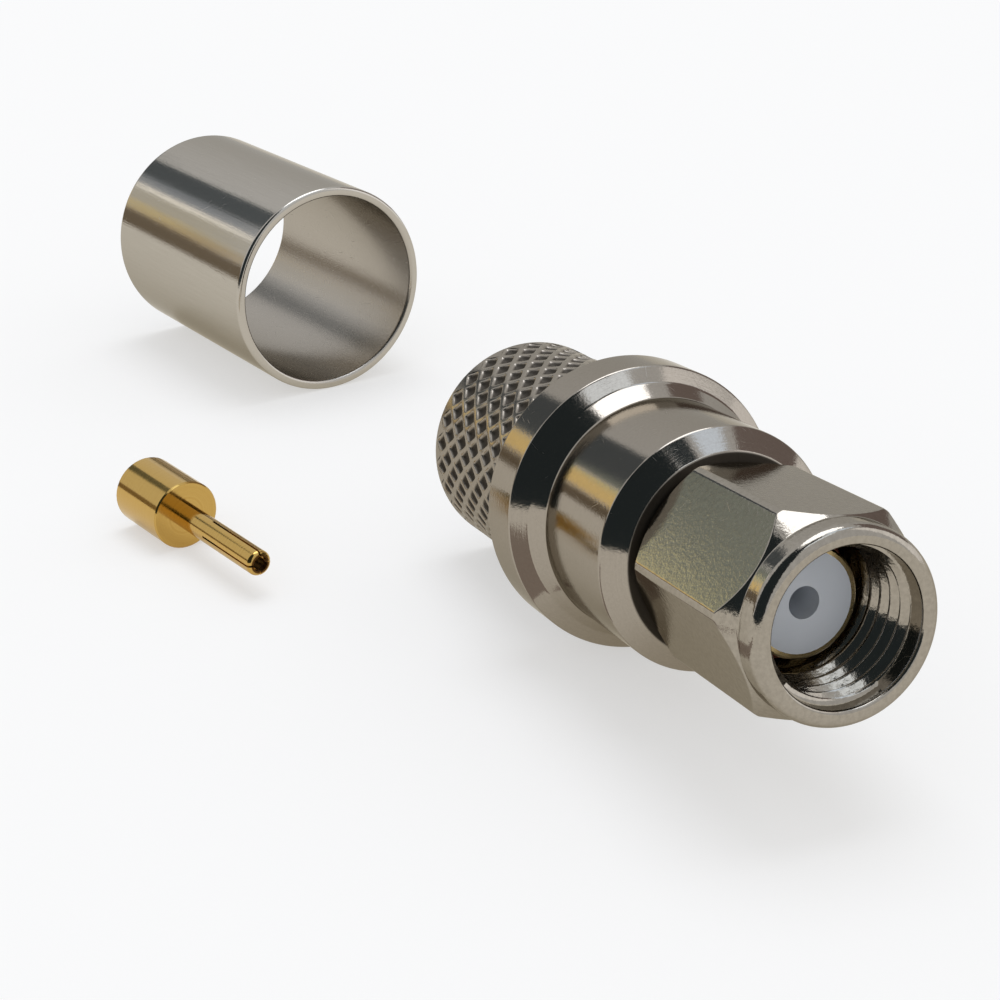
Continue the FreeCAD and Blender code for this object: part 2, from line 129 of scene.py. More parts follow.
def turned_surface(outline, segments, closed=True):
    """Points and faces of an outline turned about the axis."""
    points = []
    for number in range(segments):
        around = 2 * math.pi * number / segments
        points += [round_about(place[0], place[1], around) for place in outline]
    rows = len(outline)
    faces = []
    for number in range(segments):
        here = number * rows
        there = (number + 1) % segments * rows
        for row in range(rows if closed else rows - 1):
            above = (row + 1) % rows
            faces.append((here + row, here + above, there + above, there + row))
    return points, faces


def piece_from(name, surfaces, placement, sharp_degrees):
    """A mesh piece from surfaces of points in millimetres and faces, tidied and laid in place."""
    points, faces = [], []
    for more_points, more_faces in surfaces:
        first = len(points)
        points += [tuple(point) for point in more_points]
        faces += [[first + corner for corner in face] for face in more_faces]
    mesh = bpy.data.meshes.new(name)
    mesh.from_pydata(points, [], faces)
    shell = bmesh.new()
    shell.from_mesh(mesh)
    bmesh.ops.remove_doubles(shell, verts=shell.verts, dist=WELD)
    bmesh.ops.dissolve_degenerate(shell, edges=shell.edges, dist=SHORTEST_EDGE)
    bmesh.ops.recalc_face_normals(shell, faces=shell.faces)
    shell.to_mesh(mesh)
    shell.free()
    mesh.transform(placement @ Matrix.Scale(MM, 4))
    mesh.shade_smooth()
    mesh.set_sharp_from_angle(angle=math.radians(sharp_degrees))
    piece = bpy.data.objects.new(name, mesh)
    bpy.context.scene.collection.objects.link(piece)
    return piece


def stand_for(piece, node, body):
    """Let a piece take the place of a CAD node."""
    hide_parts(node)
    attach(piece, body)


# Coupling nut, with its inside thread of 36 turns to the inch
NUT_LENGTH = 9.6
NUT_TURN = math.radians(8.0)
HALF_FLATS = 4.0
BAR_RADIUS = 4.54
COLLAR_RADIUS = 3.95
COLLAR_LENGTH = 1.2
CONE_LENGTH = 0.85
REAR_FACE_RADIUS = 3.88
LIP_ROUND = 0.45
MOUTH_RADIUS = 3.18
MOUTH_ROUND = 0.15
BEHIND_MOUTH_ROUND = 0.1
THREAD_START = 0.5
THREAD_END = 5.3
THREAD_DATUM = 0.275
THREAD_PITCH = 25.4 / 36
CREST_RADIUS = 2.87
ROOT_RADIUS = 3.16
RELIEF_END = 6.8
RELIEF_RADIUS = 3.35
REAR_BORE_RADIUS = 3.05
POCKET_FRONT = 7.9
POCKET_REAR = 8.7
POCKET_RADIUS = 3.47
NUT_CORNER = 0.045
# Share of the pitch and share of the depth at each bend of the thread's section
THREAD_BENDS = (
    (0.00, 0.00), (0.06, 0.04), (0.12, 0.16), (0.34, 0.86), (0.40, 0.97), (0.46, 1.00),
    (0.58, 1.00), (0.64, 0.97), (0.70, 0.86), (0.92, 0.16), (0.98, 0.04),
)
# Columns of the nut's mesh, in degrees: their step across a flat, the two that stand beside each
# edge of a flat, and how far the others keep from that edge
FLAT_STEP = 2.2
BESIDE_EDGE = 0.35
NEXT_TO_EDGE = 0.9
CLEAR_OF_EDGE = 1.2
# Creases sharper than this, in degrees, stay hard
NUT_CREASE = 38
TURNED_CREASE = 50


def thread_radius(along, around):
    """Radius of the inside thread at a distance behind the lip and an angle round the axis."""
    share = ((along - THREAD_DATUM) / THREAD_PITCH - around / (2 * math.pi)) % 1
    bends = THREAD_BENDS + ((1.0, 0.0),)
    for (low, shallow), (high, deep) in zip(bends, bends[1:]):
        if low <= share <= high:
            depth = shallow + (deep - shallow) * (share - low) / (high - low)
            return CREST_RADIUS + (ROOT_RADIUS - CREST_RADIUS) * depth
    return CREST_RADIUS


def thread_column(around):
    """The thread's section at one angle, from the relief out to the mouth."""
    column = []
    for turn in range(-2, math.ceil((THREAD_END - THREAD_DATUM) / THREAD_PITCH) + 2):
        for share, depth in THREAD_BENDS:
            place = THREAD_DATUM + THREAD_PITCH * (turn + share + around / (2 * math.pi))
            along = min(max(place, THREAD_START), THREAD_END)
            radius = CREST_RADIUS + (ROOT_RADIUS - CREST_RADIUS) * depth
            if along != place:
                radius = thread_radius(along, around)
            column.append(Vector((along, radius)))
    return column[::-1]


def nut_column(around):
    """The nut's section before and behind the thread at one angle from a flat's middle."""
    off_flat = (around + math.pi / 6) % (math.pi / 3) - math.pi / 6
    reach = min(HALF_FLATS / math.cos(off_flat), BAR_RADIUS)
    rise = (reach - COLLAR_RADIUS) / (BAR_RADIUS - COLLAR_RADIUS)
    fall = (reach - REAR_FACE_RADIUS) / (BAR_RADIUS - REAR_FACE_RADIUS)
    inner = quarter_round((MOUTH_ROUND, MOUTH_RADIUS + MOUTH_ROUND), MOUTH_ROUND, 180, 5)
    outer = quarter_round((LIP_ROUND, COLLAR_RADIUS - LIP_ROUND), LIP_ROUND, 90, 8)
    mouth = [(THREAD_START, MOUTH_RADIUS), (MOUTH_ROUND + BEHIND_MOUTH_ROUND, MOUTH_RADIUS)]
    lip = inner[::-1] + outer[::-1] + [(LIP_ROUND + BESIDE_ROUND, COLLAR_RADIUS)]
    rest = [
        (COLLAR_LENGTH, COLLAR_RADIUS),
        (COLLAR_LENGTH + CONE_LENGTH * rise, reach),
        (NUT_LENGTH - CONE_LENGTH * fall, reach),
        (NUT_LENGTH, REAR_FACE_RADIUS),
        (NUT_LENGTH, REAR_BORE_RADIUS),
        (POCKET_REAR, REAR_BORE_RADIUS),
        (POCKET_REAR, POCKET_RADIUS),
        (POCKET_FRONT, POCKET_RADIUS),
        (POCKET_FRONT, REAR_BORE_RADIUS),
        (RELIEF_END, REAR_BORE_RADIUS),
        (RELIEF_END, RELIEF_RADIUS),
        (THREAD_END, RELIEF_RADIUS),
    ]
    rounded = softened(lip[-2:] + rest, NUT_CORNER, sharp=(0, 1, len(rest) + 1))
    return [Vector(place) for place in mouth + lip[:-2]] + rounded


def nut_angles():
    """Angles of the nut's columns: close together at each edge of each flat."""
    edge = math.degrees(math.acos(HALF_FLATS / BAR_RADIUS))
    at_edge = [edge - NEXT_TO_EDGE, edge - BESIDE_EDGE]
    spread = [-edge + FLAT_STEP * step for step in range(1, math.ceil(2 * edge / FLAT_STEP))]
    inner = [angle for angle in spread if abs(angle) < edge - CLEAR_OF_EDGE]
    on_flat = [-angle for angle in reversed(at_edge)] + inner + at_edge
    over_corner = [edge + BESIDE_EDGE, edge + NEXT_TO_EDGE, 30]
    over_corner += [60 - edge - NEXT_TO_EDGE, 60 - edge - BESIDE_EDGE]
    return [math.radians(60 * flat + angle) for flat in range(6) for angle in on_flat + over_corner]


def make_threaded_nut():
    """The nut as columns round its axis. A turn moves the thread on by one pitch, so the last column
    meets the first with the thread's rows shifted by the bends of one pitch."""
    angles = nut_angles()
    points = []
    for around in angles:
        column = nut_column(around) + thread_column(around)
        points += [round_about(place.x, place.y, around + NUT_TURN) for place in column]
    plain_rows = len(nut_column(angles[0]))
    rows = plain_rows + len(thread_column(angles[0]))

    def over_the_seam(row):
        """The row of the first column that carries on a row of the last one."""
        if row < plain_rows:
            return row
        return max(row - len(THREAD_BENDS), plain_rows)

    faces = []
    for column in range(len(angles)):
        last = column == len(angles) - 1
        here = column * rows
        there = 0 if last else here + rows
        for row in range(rows):
            above = (row + 1) % rows
            row_there, above_there = row, above
            if last:
                row_there, above_there = over_the_seam(row), over_the_seam(above)
            faces.append((here + row, here + above, there + above_there, there + row_there))
    placement = lying(LIP, TO_REAR)
    nut = piece_from("coupling_nut_threaded", [(points, faces)], placement, NUT_CREASE)
    stand_for(nut, "coupling_nut", "nut")


# Connector body, from its neck in the nut back to the crimp stem
NECK_FRONT = 6.0
NECK_RADIUS = 3.0
NECK_CHAMFER = 0.15
GROOVE_FRONT = 8.0
GROOVE_REAR = 8.6
GROOVE_RADIUS = 2.7
SHOULDER = 9.72
SHOULDER_RADIUS = 4.35
BARREL_FRONT = 10.58
BARREL_REAR = 16.04
BARREL_RADIUS = 5.26
FLARE_EDGE = 16.83
FLARE_RADIUS = 5.74
FLANGE_FRONT = 17.37
FLANGE_REAR = 19.97
FLANGE_RADIUS = 6.43
FLANGE_CHAMFER = 0.25
STEM_ROOT_RADIUS = 4.8
STEM_FRONT = 20.67
STEM_END = 30.46
STEM_RADIUS = 5.07
STEM_CHAMFER = 0.2
STEM_REAR = STEM_END - STEM_CHAMFER
CABLE_BORE_RADIUS = 3.8
BORE_CHAMFER = 0.5
CAVITY_REAR = 14.54
CAVITY_FRONT = 10.44
CAVITY_RADIUS = 3.3
INSULATOR_SEAT_RADIUS = 2.6
SLEEVE_SEAT_REAR = 9.40
SLEEVE_SEAT_RADIUS = 2.295
BODY_CORNER = 0.07
BODY_SEGMENTS = 216
# The rolled knurl of the stem: rings of pits, each ring half a pit further round than the last
LAST_RING = 29.5
RING_STEP = 0.8
RINGS_OF_PITS = 11
PITS_ROUND = 27
PIT_DEPTH = 0.16
KNURL_RUN_OUT = 0.25
# How far the crests fall from the edge of a cell to its middle, across each of the two spirals
FALL_ACROSS_FIRST = 0.030
FALL_ACROSS_SECOND = 0.010
# Where a pit's floor ends and its wall does, and the places across one cell, as shares of a cell
PIT_FLOOR = 0.24
PIT_EDGE = 0.39
CELL_PLACES = (-0.5, -0.44, -PIT_EDGE, -0.34, -PIT_FLOOR, 0.0, PIT_FLOOR, 0.34, PIT_EDGE, 0.44, 0.5)


def step_between(value, low, high):
    """0 below low, 1 above high and a smooth rise between them."""
    share = min(max((value - low) / (high - low), 0.0), 1.0)
    return share * share * (3 - 2 * share)


def knurl_depth(p, q):
    """Depth below the crests at a place of one cell, whose pit is in its middle: p and q run along
    the two spirals, from -0.5 to 0.5."""
    pit = 1 - step_between(abs(p), PIT_FLOOR, PIT_EDGE)
    pit *= 1 - step_between(abs(q), PIT_FLOOR, PIT_EDGE)
    fall = FALL_ACROSS_FIRST * math.cos(math.pi * q) ** 2
    fall += FALL_ACROSS_SECOND * math.cos(math.pi * p) ** 2
    return PIT_DEPTH * pit + fall


def knurled_stem():
    """The knurl as cells on a diamond lattice. Their sides run along the two spirals."""
    points, faces = [], []
    across = len(CELL_PLACES)
    half_turn = math.pi / PITS_ROUND
    for ring in range(-1, RINGS_OF_PITS + 3):
        for number in range(PITS_ROUND):
            first = len(points)
            for p in CELL_PLACES:
                for q in CELL_PLACES:
                    along = LAST_RING - RING_STEP * ring + RING_STEP * (p + q)
                    around = half_turn * (2 * number + ring % 2 + p - q)
                    held = min(max(along, STEM_FRONT), STEM_REAR)
                    depth = knurl_depth(p, q) if 0 <= ring < RINGS_OF_PITS else 0
                    to_end = min(along - STEM_FRONT, STEM_REAR - along)
                    depth *= step_between(to_end, 0.0, KNURL_RUN_OUT)
                    points.append(round_about(held, STEM_RADIUS - depth, around))
            for row in range(across - 1):
                for column in range(across - 1):
                    corner = first + row * across + column
                    faces.append((corner, corner + 1, corner + across + 1, corner + across))
    return points, faces


def make_knurled_body():
    """The body as one turned outline, closed by the knurl of its stem."""
    outline = [
        (STEM_REAR, STEM_RADIUS),
        (STEM_END, STEM_RADIUS - STEM_CHAMFER),
        (STEM_END, CABLE_BORE_RADIUS + BORE_CHAMFER),
        (STEM_END - BORE_CHAMFER, CABLE_BORE_RADIUS),
        (CAVITY_REAR, CABLE_BORE_RADIUS),
        (CAVITY_REAR, CAVITY_RADIUS),
        (CAVITY_FRONT, CAVITY_RADIUS),
        (CAVITY_FRONT, INSULATOR_SEAT_RADIUS),
        (SLEEVE_SEAT_REAR, INSULATOR_SEAT_RADIUS),
        (SLEEVE_SEAT_REAR, SLEEVE_SEAT_RADIUS),
        (NECK_FRONT, SLEEVE_SEAT_RADIUS),
        (NECK_FRONT, NECK_RADIUS - NECK_CHAMFER),
        (NECK_FRONT + NECK_CHAMFER, NECK_RADIUS),
        (GROOVE_FRONT, NECK_RADIUS),
        (GROOVE_FRONT, GROOVE_RADIUS),
        (GROOVE_REAR, GROOVE_RADIUS),
        (GROOVE_REAR, NECK_RADIUS),
        (SHOULDER, NECK_RADIUS),
        (SHOULDER, SHOULDER_RADIUS),
        (BARREL_FRONT, BARREL_RADIUS),
        (BARREL_REAR, BARREL_RADIUS),
        (FLARE_EDGE, FLARE_RADIUS),
        (FLANGE_FRONT, FLANGE_RADIUS),
        (FLANGE_REAR - FLANGE_CHAMFER, FLANGE_RADIUS),
        (FLANGE_REAR, FLANGE_RADIUS - FLANGE_CHAMFER),
        (FLANGE_REAR, STEM_ROOT_RADIUS),
        (STEM_FRONT, STEM_ROOT_RADIUS),
        (STEM_FRONT, STEM_RADIUS),
    ]
    turned = softened(outline, BODY_CORNER, sharp=(0, len(outline) - 1))
    surfaces = [turned_surface(turned, BODY_SEGMENTS, closed=False), knurled_stem()]
    placement = lying(LIP, TO_REAR)
    body = piece_from("connector_body_knurled", surfaces, placement, TURNED_CREASE)
    stand_for(body, "connector_body", "plug")


# Crimp ferrule
FERRULE_RADIUS = 6.15
FERRULE_BORE = 5.6
FERRULE_ROUND = 0.2
FERRULE_SEGMENTS = 256


def make_drawn_ferrule():
    """The ferrule, with its drawn wall and rounded ends."""
    front = FERRULE_ROUND
    rear = FERRULE_LENGTH - FERRULE_ROUND
    outer = FERRULE_RADIUS - FERRULE_ROUND
    inner = FERRULE_BORE + FERRULE_ROUND
    outline = quarter_round((front, outer), FERRULE_ROUND, 90)
    outline += quarter_round((front, inner), FERRULE_ROUND, 180)
    outline += [(front + BESIDE_ROUND, FERRULE_BORE), (rear - BESIDE_ROUND, FERRULE_BORE)]
    outline += quarter_round((rear, inner), FERRULE_ROUND, 270)
    outline += quarter_round((rear, outer), FERRULE_ROUND, 0)
    outline += [(rear - BESIDE_ROUND, FERRULE_RADIUS), (front + BESIDE_ROUND, FERRULE_RADIUS)]
    surfaces = [turned_surface(outline, FERRULE_SEGMENTS)]
    placement = lying(FERRULE_FRONT, FERRULE_AXIS)
    ferrule = piece_from("crimp_ferrule_drawn", surfaces, placement, TURNED_CREASE)
    stand_for(ferrule, "crimp_ferrule", "plug")


# Finishes


class Nodes:
    """Short ways to add and join shader nodes in one tree."""

    def __init__(self, tree):
        self.tree = tree

    def add(self, kind, **settings):
        node = self.tree.nodes.new(kind)
        for name, value in settings.items():
            setattr(node, name, value)
        return node

    def feed(self, socket, value):
        if isinstance(value, bpy.types.NodeSocket):
            self.tree.links.new(value, socket)
        else:
            socket.default_value = value

    def math(self, operation, *values):
        node = self.add("ShaderNodeMath", operation=operation)
        for socket, value in zip(node.inputs, values):
            self.feed(socket, value)
        return node.outputs[0]

    def raised(self, value, mask, amount):
        """A value with an amount added where the mask is 1."""
        return self.math("ADD", value, self.math("MULTIPLY", mask, amount))

    def vector(self, operation, *values):
        node = self.add("ShaderNodeVectorMath", operation=operation)
        for socket, value in zip(node.inputs, values):
            self.feed(socket, value)
        return node.outputs["Value" if operation == "DOT_PRODUCT" else "Vector"]

    def scaled(self, place, factor):
        node = self.add("ShaderNodeVectorMath", operation="SCALE")
        self.feed(node.inputs[0], place)
        self.feed(node.inputs["Scale"], factor)
        return node.outputs["Vector"]

    def together(self, x, y, z):
        node = self.add("ShaderNodeCombineXYZ")
        for socket, value in zip(node.inputs, (x, y, z)):
            self.feed(socket, value)
        return node.outputs[0]

    def noise(self, place, scale=1.0, detail=2.0, rough=0.5, dimensions="3D"):
        node = self.add("ShaderNodeTexNoise", noise_dimensions=dimensions)
        self.feed(node.inputs["W" if dimensions == "1D" else "Vector"], place)
        node.inputs["Scale"].default_value = scale
        node.inputs["Detail"].default_value = detail
        node.inputs["Roughness"].default_value = rough
        return node.outputs[0]

    def spread(self, value, low, high, new_low=0.0, new_high=1.0):
        node = self.add("ShaderNodeMapRange")
        for socket, number in zip(node.inputs, (value, low, high, new_low, new_high)):
            self.feed(socket, number)
        return node.outputs[0]

    def mix(self, share, first, second):
        node = self.add("ShaderNodeMix", data_type="RGBA")
        self.feed(node.inputs["Factor"], share)
        self.feed(node.inputs["A"], first)
        self.feed(node.inputs["B"], second)
        return node.outputs["Result"]

    def bump(self, height, depth):
        """A normal from a height between 0 and 1, for marks of a depth in millimetres."""
        node = self.add("ShaderNodeBump")
        node.inputs["Strength"].default_value = 1.0
        node.inputs["Distance"].default_value = depth * MM
        self.feed(node.inputs["Height"], height)
        return node.outputs[0]


def new_group(name, inputs, outputs):
    """An empty node group with its named sockets, and the sockets to build between."""
    group = bpy.data.node_groups.new(name, "ShaderNodeTree")
    for label, kind, value in inputs:
        socket = group.interface.new_socket(label, in_out="INPUT", socket_type=f"NodeSocket{kind}")
        socket.default_value = value
    for label, kind in outputs:
        group.interface.new_socket(label, in_out="OUTPUT", socket_type=f"NodeSocket{kind}")
    work = Nodes(group)
    given = work.add("NodeGroupInput")
    result = work.add("NodeGroupOutput")
    return group, work, given.outputs, result.inputs


def place_group(work, group, **values):
    node = work.add("ShaderNodeGroup", node_tree=group)
    for name, value in values.items():
        work.feed(node.inputs[name.replace("_", " ")], value)
    return node.outputs


def make_round_the_axis():
    """Where a point lies on a turned piece: along its axis and out from it in millimetres, and
    the turn round it, with a vector that follows the surface."""
    group, work, given, result = new_group(
        "Round the axis",
        [("Start", "Vector", (0, 0, 0)), ("Axis", "Vector", (1, 0, 0)), ("Side", "Vector", (0, 1, 0))],
        [("Along", "Float"), ("Out", "Float"), ("Around", "Float"), ("Wrapped", "Vector")],
    )
    place = work.add("ShaderNodeTexCoord").outputs["Object"]
    offset = work.vector("SUBTRACT", place, given["Start"])
    in_mm = work.vector("MULTIPLY", offset, (1 / MM, 1 / MM, 1 / MM))
    along = work.vector("DOT_PRODUCT", in_mm, given["Axis"])
    side = work.vector("DOT_PRODUCT", in_mm, given["Side"])
    third = work.vector("CROSS_PRODUCT", given["Axis"], given["Side"])
    up = work.vector("DOT_PRODUCT", in_mm, third)
    square = work.math("ADD", work.math("MULTIPLY", side, side), work.math("MULTIPLY", up, up))
    work.feed(result["Along"], along)
    work.feed(result["Out"], work.math("SQRT", square))
    work.feed(result["Around"], work.math("ARCTAN2", side, up))
    work.feed(result["Wrapped"], work.together(along, side, up))
    return group


def make_turning_marks():
    """Fine rings left by the lathe's tool, and the grain of the plating over them."""
    group, work, given, result = new_group(
        "Turning marks",
        [("Along", "Float", 0), ("Out", "Float", 0), ("Wrapped", "Vector", (0, 0, 0)),
         ("Ring share", "Float", 0.5), ("Grain size", "Float", 9.0)],
        [("Marks", "Float")],
    )
    rings_to_a_mm = 9.0
    place = work.math("ADD", given["Along"], given["Out"])
    place = work.math("MULTIPLY", place, rings_to_a_mm)
    rings = work.noise(place, detail=3.0, rough=0.65, dimensions="1D")
    grain = work.noise(work.scaled(given["Wrapped"], given["Grain size"]), detail=3.0, rough=0.6)
    both = work.add("ShaderNodeMix", data_type="FLOAT")
    for number, value in ((0, given["Ring share"]), (2, grain), (3, rings)):
        work.feed(both.inputs[number], value)
    work.feed(result["Marks"], both.outputs[0])
    return group


def make_drawn_streaks():
    """Streaks along a drawn tube, with a little grain between them."""
    group, work, given, result = new_group(
        "Drawn streaks",
        [("Along", "Float", 0), ("Around", "Float", 0), ("Wrapped", "Vector", (0, 0, 0))],
        [("Marks", "Float")],
    )
    streaks_to_a_radian = 60.0
    streaks_to_a_mm = 0.25
    streak_share = 0.72
    grain_share = 0.28
    across = work.math("MULTIPLY", given["Around"], streaks_to_a_radian)
    along = work.math("MULTIPLY", given["Along"], streaks_to_a_mm)
    streaks = work.noise(work.together(across, along, 0.0), detail=4.0, rough=0.7)
    grain = work.noise(given["Wrapped"], scale=11.0, detail=2.0, rough=0.6)
    both = work.raised(work.math("MULTIPLY", streaks, streak_share), grain, grain_share)
    work.feed(result["Marks"], both)
    return group


# Hair scratches: how far each family leans from the axis, and a number that sets it apart
SCRATCHES = ((0.6, 3.0), (-0.35, 11.0), (1.9, 23.0))
SCRATCHES_ALONG = 0.55
SCRATCHES_ACROSS = 13.0


def make_fine_scratches():
    """Hair scratches from handling, in three directions over the unrolled surface."""
    group, work, given, result = new_group(
        "Fine scratches",
        [("Along", "Float", 0), ("Around", "Float", 0), ("Out", "Float", 0)],
        [("Mask", "Float")],
    )
    across = work.math("MULTIPLY", given["Around"], given["Out"])
    found = []
    for lean, apart in SCRATCHES:
        length = work.raised(given["Along"], across, lean)
        width = work.math("SUBTRACT", across, work.math("MULTIPLY", given["Along"], lean))
        length = work.math("MULTIPLY", length, SCRATCHES_ALONG)
        width = work.math("MULTIPLY", width, SCRATCHES_ACROSS)
        hairs = work.noise(work.together(length, width, apart), detail=1.0)
        found.append(work.spread(hairs, 0.73, 0.79))
    both = work.math("MAXIMUM", work.math("MAXIMUM", found[0], found[1]), found[2])
    work.feed(result["Mask"], both)
    return group


ROUND_THE_AXIS = make_round_the_axis()
TURNING_MARKS = make_turning_marks()
DRAWN_STREAKS = make_drawn_streaks()
FINE_SCRATCHES = make_fine_scratches()

# Colours of the painted shade in a recess, of a satin inside and of the painted shade in a bore's
# inside, and the nickel's tint at a grazing look
RECESS_SHADE = (0.034, 0.028, 0.022)
SATIN = (0.49, 0.46, 0.42)
BORE_SHADE = (0.10, 0.045, 0.012)
NICKEL_EDGE = (0.62, 0.60, 0.56)
# How much each of these adds to the roughness
SCRATCH_DULLS = 0.20
RECESS_DULLS = 0.45
SATIN_DULLS = 0.16
ROLLING_DULLS = 0.12
BORE_DULLS = 0.3

# A recess with painted shade lies outside the radius least. It is dull and shaded below the radius
# full, and plain above the third radius, from begins to ends along the axis; the last is the shade's
# share.
Recess = namedtuple("Recess", "least full clean begins ends dirt")


def new_material(name):
    """A new material, the short ways into its nodes, and its shader."""
    material = bpy.data.materials.new(name)
    material.use_nodes = True
    shader = next(n for n in material.node_tree.nodes if n.type == "BSDF_PRINCIPLED")
    return material, Nodes(material.node_tree), shader


def axis_place(work, start, axis):
    side = UPWARD.cross(axis).normalized()
    return place_group(work, ROUND_THE_AXIS, Start=tuple(start), Axis=tuple(axis), Side=tuple(side))


def painted_shade_in(work, place, recess):
    """How much painted shade of a recess lies at each point, from 0 to 1."""
    mask = work.spread(place["Out"], recess.full, recess.clean, 1.0, 0.0)
    for operation, value, limit in (("GREATER_THAN", place["Out"], recess.least),
                                    ("GREATER_THAN", place["Along"], recess.begins),
                                    ("LESS_THAN", place["Along"], recess.ends)):
        mask = work.math("MULTIPLY", mask, work.math(operation, value, limit))
    return mask


def nickel(name, start, axis, colour, shade, rough, bump, rings=0.5, grain=9.0, drawn=False,
           recesses=(), satin=None, rolled=None):
    """Bright nickel plating. The tone runs from colour to shade and the roughness between the two
    of rough. satin gives the radii below and above which an inside is satin and bright, and
    rolled the distance from which the surface was rolled, and is less bright."""
    material, work, shader = new_material(name)
    place = axis_place(work, start, axis)
    if drawn:
        marks = place_group(work, DRAWN_STREAKS, Along=place["Along"], Around=place["Around"],
                            Wrapped=place["Wrapped"])["Marks"]
    else:
        marks = place_group(work, TURNING_MARKS, Along=place["Along"], Out=place["Out"],
                            Wrapped=place["Wrapped"], Ring_share=rings, Grain_size=grain)["Marks"]
    scratches = place_group(work, FINE_SCRATCHES, Along=place["Along"], Around=place["Around"],
                            Out=place["Out"])["Mask"]
    tone = work.mix(work.spread(marks, 0.35, 0.65), (*colour, 1), (*shade, 1))
    gloss = work.raised(work.spread(marks, 0.3, 0.7, *rough), scratches, SCRATCH_DULLS)
    for recess in recesses:
        # Painted shade: each recess is darkened towards the shade colour, and is rougher as well
        shaded = painted_shade_in(work, place, recess)
        tone = work.mix(work.math("MULTIPLY", shaded, recess.dirt), tone, (*RECESS_SHADE, 1))
        gloss = work.raised(gloss, shaded, RECESS_DULLS)
    if satin:
        inside = work.spread(place["Out"], *satin, 1.0, 0.0)
        gloss = work.raised(gloss, inside, SATIN_DULLS)
        tone = work.mix(inside, tone, (*SATIN, 1))
    if rolled:
        stem = work.math("GREATER_THAN", place["Along"], rolled)
        gloss = work.raised(gloss, stem, ROLLING_DULLS)
    work.feed(shader.inputs["Base Color"], tone)
    shader.inputs["Metallic"].default_value = 1.0
    shader.inputs["Specular Tint"].default_value = (*NICKEL_EDGE, 1)
    work.feed(shader.inputs["Roughness"], gloss)
    work.feed(shader.inputs["Normal"], work.bump(marks, bump))
    return material


def gold(name, start, axis, colour, shade, rough, bump, bore):
    """Gold plating. bore gives the radii below and above which the bore is darkened by painted shade
    and left bright.
    """
    material, work, shader = new_material(name)
    place = axis_place(work, start, axis)
    marks = place_group(work, TURNING_MARKS, Along=place["Along"], Out=place["Out"],
                        Wrapped=place["Wrapped"], Ring_share=0.6, Grain_size=14.0)["Marks"]
    tone = work.mix(work.spread(marks, 0.35, 0.65), (*colour, 1), (*shade, 1))
    # Painted shade: inside the radii of bore the contact darkens towards the shade colour
    inside = work.spread(place["Out"], *bore, 1.0, 0.0)
    work.feed(shader.inputs["Base Color"], work.mix(inside, tone, (*BORE_SHADE, 1)))
    shader.inputs["Metallic"].default_value = 1.0
    gloss = work.raised(work.spread(marks, 0.3, 0.7, *rough), inside, BORE_DULLS)
    work.feed(shader.inputs["Roughness"], gloss)
    work.feed(shader.inputs["Normal"], work.bump(marks, bump))
    return material


def plain_finish(name, colour, shade, metallic, rough):
    """A finish with a fine cloud of two tones, for the small pieces."""
    material, work, shader = new_material(name)
    place = work.add("ShaderNodeTexCoord").outputs["Object"]
    cloud = work.noise(place, scale=900, detail=3.0, rough=0.6)
    work.feed(shader.inputs["Base Color"], work.mix(cloud, (*colour, 1), (*shade, 1)))
    shader.inputs["Metallic"].default_value = metallic
    work.feed(shader.inputs["Roughness"], work.spread(cloud, 0.3, 0.7, *rough))
    return material


def dress(name, material):
    """Give a piece its only material."""
    slots = bpy.data.objects[name].data.materials
    slots.clear()
    slots.append(material)


def dress_the_kit():
    # Painted shade in the knurl's pits and in the gap between the nut and the body's shoulder
    knurl_painted_shade = Recess(least=4.80, full=4.96, clean=5.035, begins=20.7, ends=30.25, dirt=0.78)
    neck_painted_shade = Recess(least=2.90, full=4.32, clean=4.39, begins=9.5, ends=9.80, dirt=0.92)
    dress("connector_body_knurled", nickel(
        "bright_nickel_body", LIP, TO_REAR,
        colour=(0.405, 0.372, 0.330), shade=(0.370, 0.338, 0.298), rough=(0.06, 0.12),
        bump=0.0034, rings=0.30, grain=9.0, recesses=(knurl_painted_shade, neck_painted_shade), rolled=20.7))
    dress("coupling_nut_threaded", nickel(
        "bright_nickel_nut", LIP, TO_REAR,
        colour=(0.415, 0.385, 0.340), shade=(0.355, 0.328, 0.288), rough=(0.06, 0.13),
        bump=0.0062, rings=0.08, grain=5.5))
    dress("crimp_ferrule_drawn", nickel(
        "drawn_nickel_ferrule", FERRULE_FRONT, FERRULE_AXIS,
        colour=(0.55, 0.525, 0.485), shade=(0.51, 0.485, 0.445), rough=(0.07, 0.12),
        bump=0.0040, drawn=True, satin=(5.62, 5.85)))
    dress("centre_contact", gold(
        "gold_plated_contact", CONTACT_TIP, CONTACT_AXIS,
        colour=(0.64, 0.43, 0.135), shade=(0.58, 0.37, 0.105), rough=(0.07, 0.16),
        bump=0.0016, bore=(0.46, 0.50)))
    dress("contact_sleeve", plain_finish(
        "gold_toned_sleeve", (0.62, 0.48, 0.24), (0.50, 0.40, 0.22), metallic=1, rough=(0.15, 0.3)))
    dress("retaining_ring", plain_finish(
        "spring_wire", (0.50, 0.42, 0.26), (0.42, 0.36, 0.24), metallic=1, rough=(0.2, 0.4)))
    dress("insulator", plain_finish(
        "white_ptfe", (0.70, 0.73, 0.78), (0.64, 0.68, 0.73), metallic=0, rough=(0.35, 0.5)))
    dress("gasket", plain_finish(
        "seal_rubber", (0.36, 0.10, 0.06), (0.28, 0.08, 0.05), metallic=0, rough=(0.6, 0.8)))


# Floor, light and camera

FLOOR_RADIUS = 3.0
# Colour of the floor's paper under the lamps, and as it is seen, where its own glow adds the rest
PAPER = (0.94, 0.94, 0.94)
PAPER_SEEN = (0.47, 0.47, 0.47)
GLOW_SEEN = (0.50, 0.50, 0.50)
GLOW_MIRRORED = (0.40, 0.36, 0.28)
BLACK = (0, 0, 0)
ROOM = (0.72, 0.72, 0.72)
